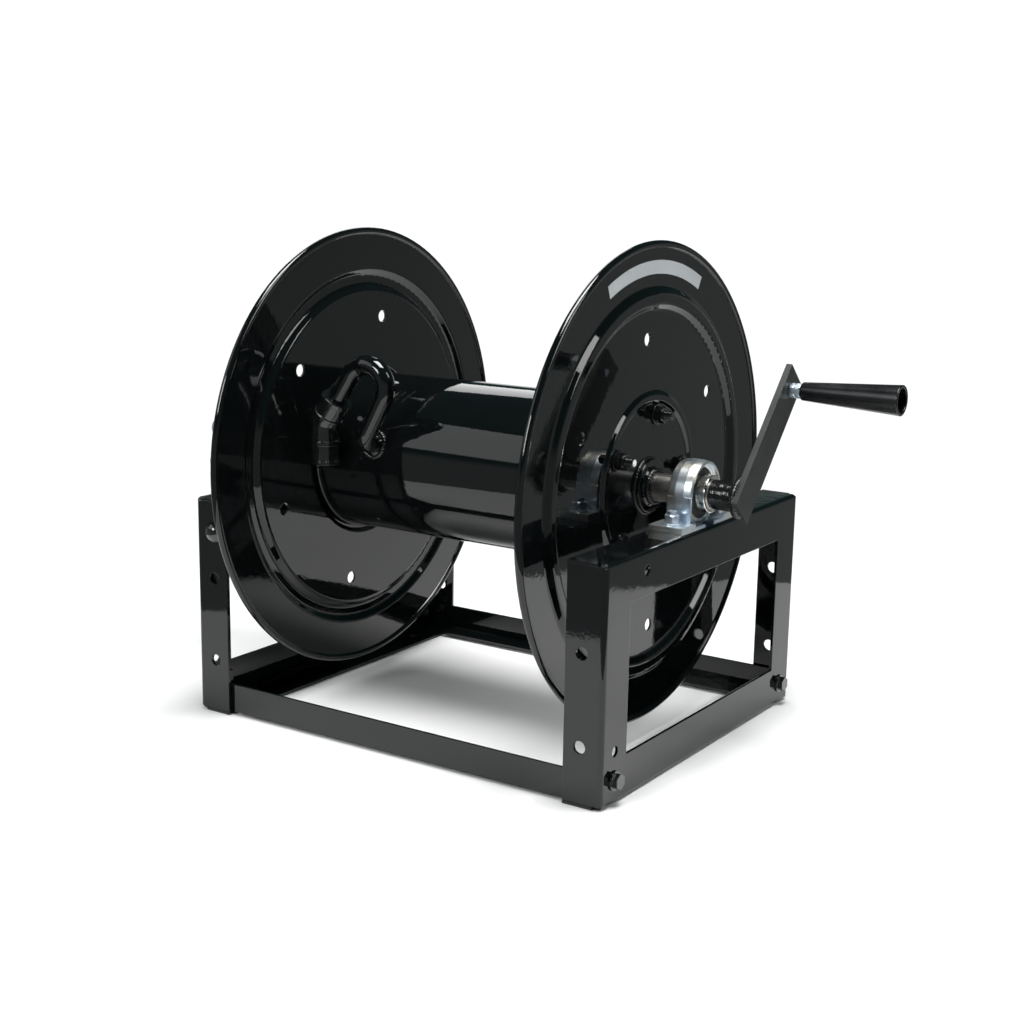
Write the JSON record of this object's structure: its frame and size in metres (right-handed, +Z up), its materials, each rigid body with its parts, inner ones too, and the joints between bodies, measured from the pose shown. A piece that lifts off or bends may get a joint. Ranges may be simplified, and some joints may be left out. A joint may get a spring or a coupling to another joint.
{
  "type": "hose reel",
  "caption": "Hand-cranked hose reel: two large pressed discs on a drum, turning in two pillow blocks on a bolted steel base, with an inlet swivel and a gooseneck outlet.",
  "frame": {"origin": "on the floor, at the middle of the base and of its four floor holes", "axes": "+X along the reel's axis towards the crank, +Y to the rear, +Z up"},
  "size_m": [0.856, 0.508, 0.5293],
  "materials": {
    "black_powder_coat": "mirror-gloss black powder coat",
    "black_fastener": "gloss black painted hardware",
    "zinc_plate": "bright blue-white zinc plating",
    "bare_steel": "turned bare steel",
    "bearing_steel": "ground bearing steel",
    "swivel_steel": "zinc plated, turned",
    "seal_rubber": "moulded rubber",
    "bush_bronze": "turned bronze",
    "crank_paint": "satin dark coated flat bar",
    "grip_plastic": "smooth black moulded grip"
  },
  "bodies": {
    "frame": {"side_frame_left": "black_powder_coat", "side_frame_right": "black_powder_coat", "base_rail_front": "black_powder_coat", "base_rail_rear": "black_powder_coat", "base_bolts": "black_fastener", "base_nuts": "black_fastener", "bearing_outer_ring_left": "bearing_steel", "bearing_outer_ring_right": "bearing_steel", "bearing_housing_upper_left": "zinc_plate", "bearing_housing_upper_right": "zinc_plate", "bearing_housing_lower_left": "zinc_plate", "bearing_housing_lower_right": "zinc_plate", "bearing_seals_left": "seal_rubber", "bearing_seals_right": "seal_rubber", "bearing_bolts": "zinc_plate", "bearing_washers": "zinc_plate", "bearing_nuts": "zinc_plate", "brake_bolt": "black_fastener", "brake_washer": "black_fastener", "brake_nut": "black_fastener"},
    "reel": {"disc_left": "black_powder_coat", "disc_right": "black_powder_coat", "drum_barrel": "black_powder_coat", "inner_plate_left": "black_powder_coat", "inner_plate_right": "black_powder_coat", "hub_plate_left": "black_powder_coat", "hub_plate_right": "black_powder_coat", "tie_rods": "black_fastener", "tie_washers": "black_fastener", "tie_nuts": "black_fastener", "crank_shaft": "bare_steel", "axle_pipe": "bare_steel", "feed_elbow": "black_powder_coat", "feed_pipe": "black_powder_coat", "gooseneck_pipe": "black_powder_coat", "outlet_elbow": "black_powder_coat", "bearing_inner_ring_left": "bearing_steel", "bearing_inner_ring_right": "bearing_steel", "bearing_set_screws": "bare_steel", "swivel_stem": "swivel_steel", "crank_arm": "crank_paint", "handle_bolt": "zinc_plate", "handle_nuts": "zinc_plate"},
    "handle": {"handle_grip": "grip_plastic"},
    "swivel": {"swivel_body": "swivel_steel", "swivel_bush": "bush_bronze", "swivel_seals": "seal_rubber", "swivel_snap_ring": "bearing_steel", "swivel_inlet": "swivel_steel"},
    "ball_sets": {"bearing_balls_left": "bearing_steel", "bearing_balls_right": "bearing_steel", "bearing_cage_left": "bearing_steel", "bearing_cage_right": "bearing_steel"},
    "brake": {"brake_lever": "black_powder_coat", "brake_pad": "seal_rubber"}
  },
  "joints": [
    {"name": "reel_spin", "type": "hinge", "parent": "frame", "child": "reel", "pos_m": [0, 0, 0.2753], "axis": [1, 0, 0], "continuous": true},
    {"name": "handle_spin", "type": "hinge", "parent": "reel", "child": "handle", "pos_m": [0.3115, 0.09256, 0.37631], "axis": [1, 0, 0], "continuous": true},
    {"name": "swivel_turn", "type": "hinge", "parent": "frame", "child": "swivel", "pos_m": [-0.38, 0, 0.2753], "axis": [1, 0, 0], "continuous": true},
    {"name": "ball_set_turn", "type": "hinge", "parent": "frame", "child": "ball_sets", "pos_m": [0, 0, 0.2753], "axis": [1, 0, 0], "continuous": true},
    {"name": "brake_swing", "type": "hinge", "parent": "frame", "child": "brake", "pos_m": [-0.235, -0.207, 0.205], "axis": [0, 1, 0], "range_deg": [-6, 0]}
  ],
  "couplings": [
    {"joint": "ball_set_turn", "follows": "reel_spin", "ratio": 0.3965}
  ]
}
